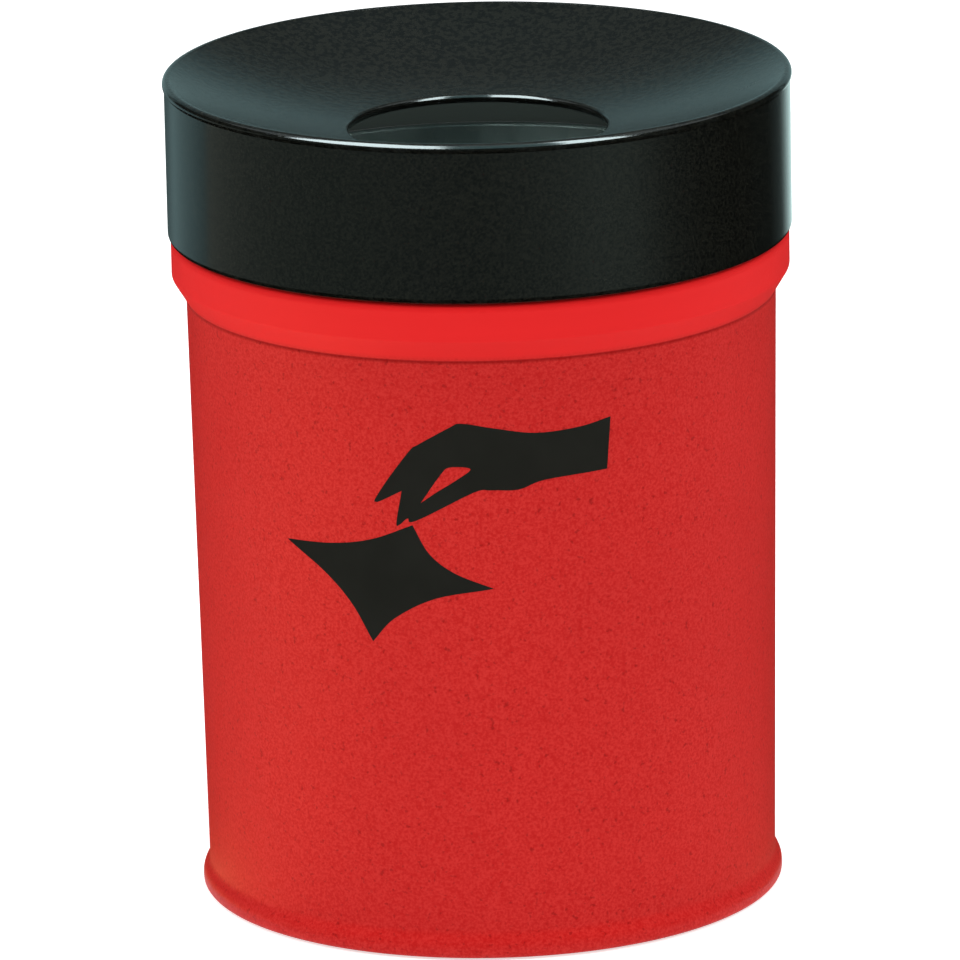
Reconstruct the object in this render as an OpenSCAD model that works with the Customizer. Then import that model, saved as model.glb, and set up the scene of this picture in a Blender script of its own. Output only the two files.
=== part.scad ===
// Round sheet-steel waste bin with a flame-smothering funnel head and a lift-out liner.
// +Z is up, the origin is on the floor at the centre of the base, and the front faces -Y.
// Every steel piece is drawn as its real section: a strip of sheet bent at named corners.

/* [Body] */
// Outer radius of the wall just under the shoulder
wall_top_r = 148.5; // [146:0.5:150]
// Outer radius of the wall just above the foot
wall_foot_r = 144.2; // [142:0.1:146]
// Outer radius of the flared foot
foot_r = 147.7; // [147:0.1:149]
// Outer radius of the collar that the head stands on
collar_r = 155.6; // [155:0.1:156]
// Outer radius of the neck inside the head
neck_r = 150.3; // [150:0.1:150.4]
// Height at which the shoulder starts
shoulder_z = 309.3; // [300:0.1:312]
// Height at which the collar starts to be straight
collar_z = 320.9; // [318:0.1:324]
// Height of the ledge between the collar and the neck
ledge_z = 340; // [338:0.1:342]
// Height of the top of the neck
neck_z = 355; // [350:0.5:360]
// Thickness of the body's sheet
body_sheet = 1; // [0.8:0.1:1]
// Width of the welded lap at the back of the wall
lap_w = 9; // [6:1:14]

/* [Base] */
// Height of the flat of the base plate above the floor
base_z = 6; // [5:0.5:8]
// Rise of the stiffening dome in the middle of the base plate
dome_rise = 3; // [2:0.5:4]
// Radius of the stiffening dome
dome_r = 98; // [80:1:100]
// Radius of the circle that the floor pads stand on
pad_circle_r = 120; // [116:1:124]
// Radius of a floor pad
pad_r = 11; // [9:1:12]
// How far the pads hold the foot off the floor
pad_proud = 1; // [0.5:0.5:1.5]

/* [Head] */
// Outer radius of the skirt
skirt_r = 157; // [156.5:0.1:157.5]
// Height of the rim above the floor
rim_z = 421; // [415:1:425]
// Radius of the opening
opening_r = 65; // [60:1:70]
// Slope of the dish just inside the rim, in degrees
rim_slope = 26; // [22:1:28]
// Slope of the dish at the opening, in degrees
throat_slope = 10; // [8:1:12]
// Bend radius of the dish between the two slopes
dish_bend = 300; // [260:10:310]
// Thickness of the head's sheet
head_sheet = 1; // [0.8:0.1:1]

/* [Liner] */
// Outer radius of the straight band at the top of the liner
liner_r = 146.9; // [146.5:0.1:147]
// Outer radius of the liner at its base
liner_foot_r = 138.5; // [130:0.5:140]
// Height of the underside of the liner above the floor
liner_z = 12; // [10:1:20]
// Thickness of the liner's sheet
liner_sheet = 0.7; // [0.6:0.1:0.8]
// Radius of the wire in the liner's rim
rim_wire_r = 1.25; // [1.2:0.01:1.25]

/* [Bail] */
// Radius of the bail's wire
bail_wire_r = 1.75; // [1.5:0.05:1.8]
// Radial clearance of the wire in its ear
pivot_clearance = 0.08; // [0.05:0.01:0.1]
// Thickness of an ear
ear_sheet = 1.5; // [1.2:0.1:1.6]
// How far the top of an ear is set in from the liner's wall
ear_joggle = 3.25; // [3:0.05:3.4]

/* [Hidden] */
$fn = 96;

red_coat = "#c8302b";
black_coat = "#20231f";
galvanised = "#a9adae";
rubber = "#2a2a2a";

// Distance left between surfaces of pieces that move apart
gap = 0.3;
// Largest distance of a chord from the arc of a bend
chord_error = 0.03;

// Foot: the wall flares out, rolls in under the base and stands up inside as the inner leg of a lock seam
foot_bend = 2.6;
foot_leg_r = foot_r - body_sheet / 2 - 2 * foot_bend;
foot_leg_z = 11;
foot_turn_z = pad_proud + body_sheet / 2;
flare_start_z = 8.5;
flare_end_z = 12.9;
flare_bend = 12;
cove_bend = 3.3;

// Collar and neck
shoulder_bend = 1.5;
collar_bend = 4;
neck_bend = 1.2;
hem_bend = 0.7;
hem_drop = 7;
neck_line_r = neck_r - body_sheet / 2;

// Head: the curl at the foot of the skirt rests on the rounded top of the collar
curl_bend = 2.5;
curl_outer_r = curl_bend + head_sheet / 2;
curl_r = skirt_r - curl_outer_r;
collar_round_r = collar_r - body_sheet / 2 - collar_bend;
rest_span = collar_bend + body_sheet / 2 + gap + curl_outer_r;
curl_z = ledge_z - collar_bend - body_sheet / 2 + sqrt(pow(rest_span, 2) - pow(curl_r - collar_round_r, 2));
// The top of the skirt is set in, so that the fold over it stands only a little proud
fold_set_in = 0.5;
fold_low_z = rim_z - 3.5;
fold_inner_z = rim_z - 2.9;
joggle_bend = 0.55;
rim_bend = 2.3;
skirt_line_r = skirt_r - head_sheet / 2;
fold_line_r = skirt_line_r - fold_set_in + head_sheet;
// The straight side of the fold and the slope of the dish would meet at crest_z
crest_z = rim_z - rim_bend - head_sheet / 2 + rim_bend * tan((90 + rim_slope) / 2);
// Corner where the two slopes of the dish would meet
dish_corner_r = fold_line_r - cos(rim_slope)
    * (rim_bend * tan((90 + rim_slope) / 2) + dish_bend * tan((rim_slope - throat_slope) / 2) + 0.2);
dish_corner_z = crest_z - (fold_line_r - dish_corner_r) * tan(rim_slope);
lip_bend = 1.1;
lip_drop = 2.1;
lip_line_r = opening_r + head_sheet / 2;
lip_z = dish_corner_z - (dish_corner_r - lip_line_r) * tan(throat_slope);

// Liner: its rim is rolled around a wire and rests on the hem of the neck
roll_bend = rim_wire_r + 0.05 + liner_sheet / 2;
liner_line_r = liner_r - liner_sheet / 2;
roll_r = liner_line_r + roll_bend;
roll_outer_r = roll_bend + liner_sheet / 2;
roll_z = neck_z + gap + roll_outer_r;
liner_band_z = roll_z - 32;
liner_foot_line_r = liner_foot_r - liner_sheet / 2;
seam_bend = liner_sheet;
seam_h = 9;
liner_turn_z = liner_z + liner_sheet / 2;

// Bail and ears
bail_end_ball_r = 2.3;
pivot_z = roll_z + roll_outer_r + gap + bail_end_ball_r;
ear_line_r = liner_r - liner_sheet - ear_sheet / 2;
ear_tongue_r = 7;
ear_foot_w = 28;
ear_foot_h = 18;
ear_foot_z = pivot_z - 31;
ear_corner_r = 4;
rivet_r = 2;
rivet_head_r = 3.6;
rivet_head_t = 0.9;
rivet_pitch = 16;
bail_head_r = 2.9;
bail_head_t = 1.2;

// ---- Bent sheet ----
// A section is a list of corners [r, z, bend radius on the middle of the sheet].

function left_of(v) = [-v[1], v[0]];
function along(a) = [cos(a), sin(a)];
function heading(a, b) = atan2(b[1] - a[1], b[0] - a[0]);
// Turn from heading a to heading b, from -180 to 180 degrees, positive to the left
function turn(a, b) = let (d = b - a) d > 180 ? d - 360 : d <= -180 ? d + 360 : d;
function bend_steps(radius, angle) =
    max(2, ceil(abs(angle) / (2 * acos(1 - min(0.1, chord_error / radius)))));

// [point, heading] pairs along the middle of the sheet at corner i
function corner_steps(path, i) =
    i == 0 ? [[along_point(path[0]), heading(path[0], path[1])]]
    : i == len(path) - 1 ? [[along_point(path[i]), heading(path[i - 1], path[i])]]
    : let (
        a0 = heading(path[i - 1], path[i]),
        bend = turn(a0, heading(path[i], path[i + 1])),
        radius = path[i][2],
        side = sign(bend),
        start = along_point(path[i]) - along(a0) * radius * tan(abs(bend) / 2),
        centre = start + left_of(along(a0)) * radius * side,
        n = bend_steps(radius, bend)
    )
    [for (k = [0 : n]) let (a = a0 + bend * k / n) [centre - left_of(along(a)) * radius * side, a]];

function along_point(corner) = [corner[0], corner[1]];

function sheet_outline(path, sheet) =
    let (steps = [for (i = [0 : len(path) - 1]) each corner_steps(path, i)], last = len(steps) - 1)
    concat(
        [for (s = steps) s[0] + left_of(along(s[1])) * sheet / 2],
        [for (i = [last : -1 : 0]) steps[i][0] - left_of(along(steps[i][1])) * sheet / 2]
    );

module bent_sheet(path, sheet) {
    rotate_extrude() polygon(sheet_outline(path, sheet));
}

// ---- Body ----

body_section = [
    [foot_leg_r, foot_leg_z],
    [foot_leg_r, foot_turn_z, foot_bend],
    [foot_leg_r + 2 * foot_bend, foot_turn_z, foot_bend],
    [foot_leg_r + 2 * foot_bend, flare_start_z, flare_bend],
    [wall_foot_r - body_sheet / 2, flare_end_z, cove_bend],
    [wall_top_r - body_sheet / 2, shoulder_z, shoulder_bend],
    [collar_r - body_sheet / 2, collar_z, shoulder_bend],
    [collar_r - body_sheet / 2, ledge_z - body_sheet / 2, collar_bend],
    [neck_line_r, ledge_z - body_sheet / 2, neck_bend],
    [neck_line_r, neck_z - body_sheet / 2, hem_bend],
    [neck_line_r - 2 * hem_bend, neck_z - body_sheet / 2, hem_bend],
    [neck_line_r - 2 * hem_bend, neck_z - hem_drop]
];

// The end of the rolled sheet laps over its start, and is welded down, at the back
module wall_lap() {
    lap_low_z = flare_end_z + 4;
    lap_high_z = shoulder_z - 3;
    taper = (wall_top_r - wall_foot_r) / (shoulder_z - flare_end_z);
    low_r = wall_foot_r + taper * (lap_low_z - flare_end_z);
    high_r = wall_foot_r + taper * (lap_high_z - flare_end_z);
    lap_angle = lap_w / wall_foot_r * 180 / PI;
    rotate([0, 0, 90 - lap_angle / 2]) rotate_extrude(angle = lap_angle)
        polygon([
            [low_r - body_sheet / 2, lap_low_z],
            [low_r + body_sheet * 0.7, lap_low_z],
            [high_r + body_sheet * 0.7, lap_high_z],
            [high_r - body_sheet / 2, lap_high_z]
        ]);
}

module body_wall() {
    color(red_coat) union() {
        bent_sheet(body_section, body_sheet);
        wall_lap();
    }
}

module base_plate() {
    flat_z = base_z + body_sheet / 2;
    chuck_r = foot_leg_r - body_sheet;
    lock_z = foot_leg_z + 1.2;
    color(red_coat) bent_sheet([
        [0, flat_z + dome_rise],
        [dome_r, flat_z + dome_rise, 3],
        [dome_r + 8, flat_z, 3],
        [chuck_r, flat_z, 2.5],
        [chuck_r, lock_z, body_sheet],
        [foot_leg_r + body_sheet, lock_z, body_sheet],
        [foot_leg_r + body_sheet, lock_z - 5.5]
    ], body_sheet);
}

module floor_pad(n) {
    chamfer = 1;
    color(rubber) rotate([0, 0, 45 + 90 * (n - 1)]) translate([pad_circle_r, 0, 0])
        rotate_extrude() polygon([
            [0, 0], [pad_r - chamfer, 0], [pad_r, chamfer], [pad_r, base_z], [0, base_z]
        ]);
}

// ---- Head ----

module head_skirt() {
    curl_foot_z = curl_z - curl_bend;
    color(black_coat) bent_sheet([
        [skirt_line_r - fold_set_in, fold_inner_z],
        [skirt_line_r - fold_set_in, fold_low_z - 0.75, joggle_bend],
        [skirt_line_r, fold_low_z - 1.1, joggle_bend],
        [skirt_line_r, curl_foot_z, curl_bend],
        [skirt_line_r - 2 * curl_bend, curl_foot_z, curl_bend],
        [skirt_line_r - 2 * curl_bend, curl_foot_z + 2 * curl_bend, curl_bend],
        [skirt_line_r - curl_bend + 0.6, curl_foot_z + 2 * curl_bend]
    ], head_sheet);
}

module head_dish() {
    color(black_coat) bent_sheet([
        [fold_line_r, fold_low_z],
        [fold_line_r, crest_z, rim_bend],
        [dish_corner_r, dish_corner_z, dish_bend],
        [lip_line_r, lip_z, lip_bend],
        [lip_line_r, lip_z - lip_drop, lip_bend],
        [lip_line_r + 2 * lip_bend, lip_z - lip_drop, lip_bend],
        [lip_line_r + 2 * lip_bend, lip_z - 0.95]
    ], head_sheet);
}

// ---- Liner ----

// Holes for the rivets, or any other thing on their axes
module at_rivets() {
    for (side = [-1, 1], y = [-1, 1])
        translate([0, y * rivet_pitch / 2, ear_foot_z + ear_foot_h / 2]) rotate([0, 90 * side, 0])
            children();
}

module liner_wall() {
    leg_r = liner_foot_line_r - 2 * seam_bend;
    color(galvanised) difference() {
        bent_sheet([
            [leg_r, liner_turn_z + seam_h - 1.5],
            [leg_r, liner_turn_z, seam_bend],
            [liner_foot_line_r, liner_turn_z, seam_bend],
            [liner_foot_line_r, liner_turn_z + seam_h + 1, 3],
            [liner_line_r, liner_band_z, 3],
            [liner_line_r, roll_z + roll_bend, roll_bend],
            [liner_line_r + 2 * roll_bend, roll_z + roll_bend, roll_bend],
            [liner_line_r + 2 * roll_bend, roll_z - roll_bend, roll_bend],
            [roll_r - 0.5, roll_z - roll_bend]
        ], liner_sheet);
        at_rivets() cylinder(h = liner_r + 2, r = rivet_r);
    }
}

module liner_base() {
    flat_z = liner_turn_z + 1.6;
    chuck_r = liner_foot_line_r - 3 * seam_bend;
    color(galvanised) bent_sheet([
        [0, flat_z],
        [chuck_r, flat_z, 2],
        [chuck_r, liner_turn_z + seam_h, seam_bend],
        [liner_foot_line_r - seam_bend, liner_turn_z + seam_h, seam_bend],
        [liner_foot_line_r - seam_bend, liner_turn_z + 0.8]
    ], liner_sheet);
}

module liner_rim_wire() {
    color(galvanised) rotate_extrude() translate([roll_r, roll_z]) circle(rim_wire_r);
}

// Outline of an ear, seen along X: a riveted foot and a tongue that rounds off about the pivot
module ear_outline() {
    union() {
        translate([-ear_foot_w / 2 + ear_corner_r, ear_foot_z])
            square([ear_foot_w - 2 * ear_corner_r, ear_foot_h]);
        translate([-ear_foot_w / 2, ear_foot_z + ear_corner_r])
            square([ear_foot_w, ear_foot_h - 2 * ear_corner_r]);
        for (x = [-1, 1], z = [ear_corner_r, ear_foot_h - ear_corner_r])
            translate([x * (ear_foot_w / 2 - ear_corner_r), ear_foot_z + z]) circle(ear_corner_r);
        translate([-ear_tongue_r, ear_foot_z + ear_foot_h / 2])
            square([2 * ear_tongue_r, pivot_z - ear_foot_z - ear_foot_h / 2]);
        translate([0, pivot_z]) circle(ear_tongue_r);
    }
}

module liner_ear(side) {
    joggle_z = ear_foot_z + ear_foot_h;
    ear_angle = 14;
    color(galvanised) difference() {
        intersection() {
            rotate([0, 0, (side > 0 ? 0 : 180) - ear_angle / 2]) rotate_extrude(angle = ear_angle)
                polygon(sheet_outline([
                    [ear_line_r, ear_foot_z - 2],
                    [ear_line_r, joggle_z + 1, 1.5],
                    [ear_line_r - ear_joggle, joggle_z + 4, 1.5],
                    [ear_line_r - ear_joggle, pivot_z + ear_tongue_r + 2]
                ], ear_sheet));
            rotate([90, 0, 90]) translate([0, 0, -liner_r - 5]) linear_extrude(2 * liner_r + 10)
                ear_outline();
        }
        translate([0, 0, pivot_z]) rotate([0, 90, 0])
            cylinder(h = 2 * liner_r, r = bail_wire_r + pivot_clearance, center = true);
        at_rivets() cylinder(h = liner_r + 2, r = rivet_r);
    }
}

module ear_rivets() {
    inner_face = ear_line_r - ear_sheet / 2 - 0.3;
    outer_face = liner_r - 0.3;
    color(galvanised) at_rivets() union() {
        translate([0, 0, inner_face - rivet_head_t]) cylinder(h = rivet_head_t, r = rivet_head_r);
        translate([0, 0, inner_face - 0.1]) cylinder(h = outer_face - inner_face + 0.2, r = rivet_r);
        translate([0, 0, outer_face]) cylinder(h = rivet_head_t, r = rivet_head_r);
    }
}

// The bail lies on the liner's rim, towards the front, and its ends turn in through the ears
module bail_wire() {
    tongue_r = ear_line_r - ear_joggle;
    head_r = tongue_r - ear_sheet / 2 - gap - bail_head_t;
    color(galvanised) translate([0, 0, pivot_z]) union() {
        rotate([0, 0, 180]) rotate_extrude(angle = 180) translate([roll_r, 0]) circle(bail_wire_r);
        for (side = [-1, 1]) {
            translate([side * roll_r, 0, 0]) sphere(bail_end_ball_r);
            rotate([0, 90 * side, 0]) translate([0, 0, head_r]) union() {
                cylinder(h = roll_r - head_r, r = bail_wire_r);
                cylinder(h = bail_head_t, r = bail_head_r);
            }
        }
    }
}

body_wall();
base_plate();
floor_pad(1);  // floor_pad_1
floor_pad(2);  // floor_pad_2
floor_pad(3);  // floor_pad_3
floor_pad(4);  // floor_pad_4
head_skirt();
head_dish();
liner_wall();
liner_base();
liner_rim_wire();
liner_ear(-1);  // liner_ear_left
liner_ear(1);  // liner_ear_right
ear_rivets();
bail_wire();
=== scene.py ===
"""Round sheet-steel waste bin with a flame-smothering funnel head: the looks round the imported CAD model."""

import math

import bmesh
import bpy
from mathutils import Matrix, Vector
from mathutils.bvhtree import BVHTree


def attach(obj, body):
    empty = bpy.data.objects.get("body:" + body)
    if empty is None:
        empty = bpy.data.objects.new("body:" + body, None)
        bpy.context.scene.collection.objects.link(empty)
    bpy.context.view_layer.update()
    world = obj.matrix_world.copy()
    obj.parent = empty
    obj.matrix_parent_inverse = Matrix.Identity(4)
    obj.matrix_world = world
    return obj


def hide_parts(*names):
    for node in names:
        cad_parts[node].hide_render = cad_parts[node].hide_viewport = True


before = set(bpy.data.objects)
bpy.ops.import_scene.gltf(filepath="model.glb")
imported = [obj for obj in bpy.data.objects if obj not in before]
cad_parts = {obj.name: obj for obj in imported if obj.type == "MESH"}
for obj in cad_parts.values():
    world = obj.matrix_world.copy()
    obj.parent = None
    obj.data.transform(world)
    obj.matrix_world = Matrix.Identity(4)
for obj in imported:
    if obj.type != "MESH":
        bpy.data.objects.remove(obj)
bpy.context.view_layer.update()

# ---- Image points: the photograph's frame, 960 x 960 ----

IMAGE_W, IMAGE_H = 960, 960
IMAGE_POINTS = {
    "object_left_x": (164.2, 89),
    "object_right_x": (793.0, 71),
    "object_top_y": (506, 1),
    "object_bottom_y": (457, 959.5),
    "front_rim": (420, 149),
    "opening_left_end": (350, 131),
    "opening_right_end": (613, 124),
    "opening_far_lip": (480, 93),
    "head_lower_edge": (468, 304.6),
    "collar_left": (170.8, 270),
    "collar_right": (789.8, 255),
    "foot_left": (201.6, 875),
    "foot_right": (780.4, 849),
    "figure_hand": (492.9, 470.0),
    "figure_sheet": (391.0, 583.0),
}

# ---- Camera ----

CAMERA_DISTANCE = 5.4349
CAMERA_HEIGHT = 1.6990
CAMERA_HEADING = math.radians(-0.027)
CAMERA_PITCH = math.radians(15.337)
CAMERA_ROLL = math.radians(-1.189)
CAMERA_SENSOR = 36.0
CAMERA_LENS = 417.6


def make_camera():
    heading, pitch, roll = CAMERA_HEADING, CAMERA_PITCH, CAMERA_ROLL
    forward = Vector((
        math.sin(heading) * math.cos(pitch), math.cos(heading) * math.cos(pitch), -math.sin(pitch)))
    level = Vector((math.cos(heading), -math.sin(heading), 0))
    upright = level.cross(forward)
    right = level * math.cos(roll) + upright * math.sin(roll)
    up = upright * math.cos(roll) - level * math.sin(roll)
    data = bpy.data.cameras.new("camera")
    data.type = "PERSP"
    data.sensor_fit = "AUTO"
    data.sensor_width = CAMERA_SENSOR
    data.lens = CAMERA_LENS
    data.shift_x = 0.0
    data.shift_y = 0.0
    data.clip_start = 0.1
    data.clip_end = 100
    camera = bpy.data.objects.new("camera", data)
    bpy.context.scene.collection.objects.link(camera)
    camera.matrix_world = Matrix((
        (right.x, up.x, -forward.x, 0),
        (right.y, up.y, -forward.y, -CAMERA_DISTANCE),
        (right.z, up.z, -forward.z, CAMERA_HEIGHT),
        (0, 0, 0, 1),
    ))
    bpy.context.scene.camera = camera
    bpy.context.view_layer.update()
    return camera


camera = make_camera()


def image_ray(point):
    """(origin, direction) in the row frame of the ray through an image point."""
    x, y = point
    longer = max(IMAGE_W, IMAGE_H)
    data = camera.data
    ray = Vector((
        x - IMAGE_W / 2 + data.shift_x * longer,
        IMAGE_H / 2 - y + data.shift_y * longer,
        -longer * data.lens / data.sensor_width,
    ))
    world = camera.matrix_world
    return world.translation.copy(), (world.to_3x3() @ ray).normalized()


def to_image(place):
    """Image point of a place in the row frame."""
    local = camera.matrix_world.inverted() @ Vector(place)
    longer = max(IMAGE_W, IMAGE_H)
    data = camera.data
    scale = longer * data.lens / data.sensor_width / -local.z
    return (
        IMAGE_W / 2 - data.shift_x * longer + local.x * scale,
        IMAGE_H / 2 + data.shift_y * longer - local.y * scale,
    )


def place_on(carrier, point):
    """Where the ray through an image point meets the carrier as finished, or its place nearest the ray."""
    bpy.context.view_layer.update()
    tree = BVHTree.FromObject(carrier, bpy.context.evaluated_depsgraph_get())
    to_local = carrier.matrix_world.inverted()
    origin, direction = image_ray(point)
    start = to_local @ origin
    way = (to_local.to_3x3() @ direction).normalized()
    place, _, _, _ = tree.ray_cast(start, way)
    if place is None:
        nearest = min(carrier.data.vertices, key=lambda v: ((v.co - start).cross(way)).length)
        place = nearest.co.copy()
    return carrier.matrix_world @ place


# ---- Sizes in millimetres ----

# As in the CAD source, apart from the head's two rolled edges, which are rounder here

WALL_TOP_R, WALL_FOOT_R, FOOT_R, COLLAR_R, NECK_R = 148.5, 144.2, 147.7, 155.6, 150.3
SHOULDER_Z, COLLAR_Z, LEDGE_Z, NECK_Z = 309.3, 320.9, 340.0, 355.0
BODY_SHEET, HEAD_SHEET, LINER_SHEET = 1.0, 1.0, 0.7
PAD_PROUD, BASE_Z, DOME_RISE, DOME_R, LOCK_TOP_Z = 1.0, 6.0, 3.0, 98.0, 12.2
SKIRT_R, RIM_Z, OPENING_R = 157.0, 421.0, 65.0
RIM_SLOPE, THROAT_SLOPE, DISH_BEND = math.radians(26), math.radians(10), 300.0
LINER_R, LINER_FOOT_R, LINER_Z, RIM_WIRE_R = 146.9, 138.5, 12.0, 1.25
LAP_W, LAP_PROUD = 9.0, 0.7
GAP = 0.3
FOOT_BEND, FLARE_START_Z, FLARE_END_Z = 2.6, 8.5, 12.9
COLLAR_BEND, NECK_BEND, HEM_BEND, CURL_BEND = 4.0, 1.2, 0.7, 2.5
RIM_BEND, RIM_PROUD, LIP_BEND, LIP_DROP = 2.2, 0.8, 1.65, 3.5
MM = 0.001

foot_leg_r = FOOT_R - BODY_SHEET / 2 - 2 * FOOT_BEND
foot_turn_z = PAD_PROUD + BODY_SHEET / 2
neck_line_r = NECK_R - BODY_SHEET / 2
curl_outer_r = CURL_BEND + HEAD_SHEET / 2
rest_span = COLLAR_BEND + BODY_SHEET / 2 + GAP + curl_outer_r
curl_reach = (SKIRT_R - curl_outer_r) - (COLLAR_R - BODY_SHEET / 2 - COLLAR_BEND)
curl_z = LEDGE_Z - COLLAR_BEND - BODY_SHEET / 2 + math.sqrt(rest_span ** 2 - curl_reach ** 2)
skirt_line_r = SKIRT_R - HEAD_SHEET / 2
fold_line_r = skirt_line_r + RIM_PROUD
fold_low_z = RIM_Z - HEAD_SHEET / 2 - RIM_BEND - RIM_BEND * math.tan(math.pi / 8)
fold_inner_z = RIM_Z - 3.6
rim_tangent = RIM_BEND * math.tan((math.pi / 2 + RIM_SLOPE) / 2)
crest_z = RIM_Z - RIM_BEND - HEAD_SHEET / 2 + rim_tangent
dish_corner_r = fold_line_r - math.cos(RIM_SLOPE) * (
    rim_tangent + DISH_BEND * math.tan((RIM_SLOPE - THROAT_SLOPE) / 2) + 0.2)
dish_corner_z = crest_z - (fold_line_r - dish_corner_r) * math.tan(RIM_SLOPE)
lip_line_r = OPENING_R + HEAD_SHEET / 2
lip_z = dish_corner_z - (dish_corner_r - lip_line_r) * math.tan(THROAT_SLOPE)
roll_bend = RIM_WIRE_R + 0.05 + LINER_SHEET / 2
liner_line_r = LINER_R - LINER_SHEET / 2
roll_r = liner_line_r + roll_bend
roll_outer_r = roll_bend + LINER_SHEET / 2
roll_z = NECK_Z + GAP + roll_outer_r
liner_foot_line_r = LINER_FOOT_R - LINER_SHEET / 2
liner_turn_z = LINER_Z + LINER_SHEET / 2
seam_bend = LINER_SHEET

# Corners of each piece of sheet on its middle, [r, z, bend radius, mark]; the mark is 1 where paint is
# rubbed off, negative where shade is painted into a crease, -1 fully dark, and otherwise follows the bend
CREASE_SHADE = -1.0
WALL_FOOT, WALL_TOP = (WALL_FOOT_R - BODY_SHEET / 2, FLARE_END_Z), (WALL_TOP_R - BODY_SHEET / 2, SHOULDER_Z)
COLLAR_FOOT = (COLLAR_R - BODY_SHEET / 2, COLLAR_Z)
FLARE_FOOT = (foot_leg_r + 2 * FOOT_BEND, FLARE_START_Z)
COLLAR_TOP = (COLLAR_R - BODY_SHEET / 2, LEDGE_Z - BODY_SHEET / 2)


def beside(corner, towards, distance, wear=0.0):
    """A place on the straight that runs from a corner, to end a mark there."""
    span = math.dist(corner, towards)
    return [corner[k] + (towards[k] - corner[k]) * distance / span for k in (0, 1)] + [0, wear]


BODY_SECTION = [
    [foot_leg_r, 11],
    [foot_leg_r, foot_turn_z, FOOT_BEND],
    [foot_leg_r + 2 * FOOT_BEND, foot_turn_z, FOOT_BEND],
    [*FLARE_FOOT, 8, 0],
    [*WALL_FOOT, 7, 0],
    # Shade painted into the crease at the shoulder, fading to nothing at the places beside it
    beside(WALL_TOP, WALL_FOOT, 1.8),
    [*WALL_TOP, 1.5, -0.5],
    beside(WALL_TOP, COLLAR_FOOT, 1.2),
    [*COLLAR_FOOT, 1.5, 0],
    [*COLLAR_TOP, COLLAR_BEND, 0],
    [neck_line_r, LEDGE_Z - BODY_SHEET / 2, NECK_BEND],
    [neck_line_r, NECK_Z - BODY_SHEET / 2, HEM_BEND],
    [neck_line_r - 2 * HEM_BEND, NECK_Z - BODY_SHEET / 2, HEM_BEND],
    [neck_line_r - 2 * HEM_BEND, NECK_Z - 7],
]
BASE_SECTION = [
    [0, BASE_Z + BODY_SHEET / 2 + DOME_RISE],
    [DOME_R, BASE_Z + BODY_SHEET / 2 + DOME_RISE, 3],
    [DOME_R + 8, BASE_Z + BODY_SHEET / 2, 3],
    [foot_leg_r - BODY_SHEET, BASE_Z + BODY_SHEET / 2, 2.5],
    [foot_leg_r - BODY_SHEET, LOCK_TOP_Z, BODY_SHEET],
    [foot_leg_r + BODY_SHEET, LOCK_TOP_Z, BODY_SHEET],
    [foot_leg_r + BODY_SHEET, 6.7],
]
SKIRT_SECTION = [
    [skirt_line_r, fold_inner_z],
    [skirt_line_r, curl_z - CURL_BEND, CURL_BEND],
    [skirt_line_r - 2 * CURL_BEND, curl_z - CURL_BEND, CURL_BEND],
    [skirt_line_r - 2 * CURL_BEND, curl_z + CURL_BEND, CURL_BEND],
    [skirt_line_r - CURL_BEND + 0.6, curl_z + CURL_BEND],
]
DISH_SECTION = [
    [fold_line_r - 1, fold_low_z - 1],
    [fold_line_r, fold_low_z, RIM_BEND],
    [fold_line_r, crest_z, RIM_BEND],
    [dish_corner_r, dish_corner_z, DISH_BEND],
    [lip_line_r, lip_z, LIP_BEND],
    [lip_line_r, lip_z - LIP_DROP, LIP_BEND],
    [lip_line_r + 2 * LIP_BEND, lip_z - LIP_DROP, LIP_BEND],
    [lip_line_r + 2 * LIP_BEND, lip_z - 0.95],
]


def outside(corners, distance):
    """Corners of a path this far to the right of the one through the given corners, its bends fitted."""
    moved = []
    for i, corner in enumerate(corners):
        last, following = corners[max(i - 1, 0)], corners[min(i + 1, len(corners) - 1)]
        place = Vector(corner[:2])
        ways = [w.normalized() for w in (place - Vector(last[:2]), Vector(following[:2]) - place)
                if w.length > 0]
        sides = [Vector((w.y, -w.x)) for w in ways]
        mitre = sides[0] + sides[-1]
        moved.append([*(place + mitre * (distance * 2 / mitre.length_squared))]
                     + [radius + distance for radius in corner[2:3]])
    return moved


# A thin skin over each of the two rolled edges, there to carry their highlights: the soft boxes light only
# these skins of the funnel
HIGHLIGHT_SKIN, HIGHLIGHT_SKIN_AWAY = 0.06, HEAD_SHEET / 2 + 0.04
rim_way = (-math.cos(RIM_SLOPE), -math.sin(RIM_SLOPE))
throat_way = (-math.cos(THROAT_SLOPE), -math.sin(THROAT_SLOPE))
rim_end, lip_start = rim_tangent + 0.15, LIP_BEND * math.tan((math.pi / 2 - THROAT_SLOPE) / 2) + 0.5
RIM_HIGHLIGHT_SECTION = outside([
    [fold_line_r - 1, fold_low_z - 1],
    [fold_line_r, fold_low_z, RIM_BEND],
    [fold_line_r, crest_z, RIM_BEND],
    [fold_line_r + rim_way[0] * rim_end, crest_z + rim_way[1] * rim_end],
], HIGHLIGHT_SKIN_AWAY)
LIP_HIGHLIGHT_SECTION = outside([
    [lip_line_r - throat_way[0] * lip_start, lip_z - throat_way[1] * lip_start],
    [lip_line_r, lip_z, LIP_BEND],
    [lip_line_r, lip_z - LIP_DROP / 2],
], HIGHLIGHT_SKIN_AWAY)
LINER_SECTION = [
    [liner_foot_line_r - 2 * seam_bend, liner_turn_z + 7.5],
    [liner_foot_line_r - 2 * seam_bend, liner_turn_z, seam_bend],
    [liner_foot_line_r, liner_turn_z, seam_bend],
    [liner_foot_line_r, liner_turn_z + 10, 3],
    [liner_line_r, roll_z - 32, 3],
    [liner_line_r, roll_z + roll_bend, roll_bend],
    [liner_line_r + 2 * roll_bend, roll_z + roll_bend, roll_bend],
    [liner_line_r + 2 * roll_bend, roll_z - roll_bend, roll_bend],
    [roll_r - 0.5, roll_z - roll_bend],
]
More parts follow.
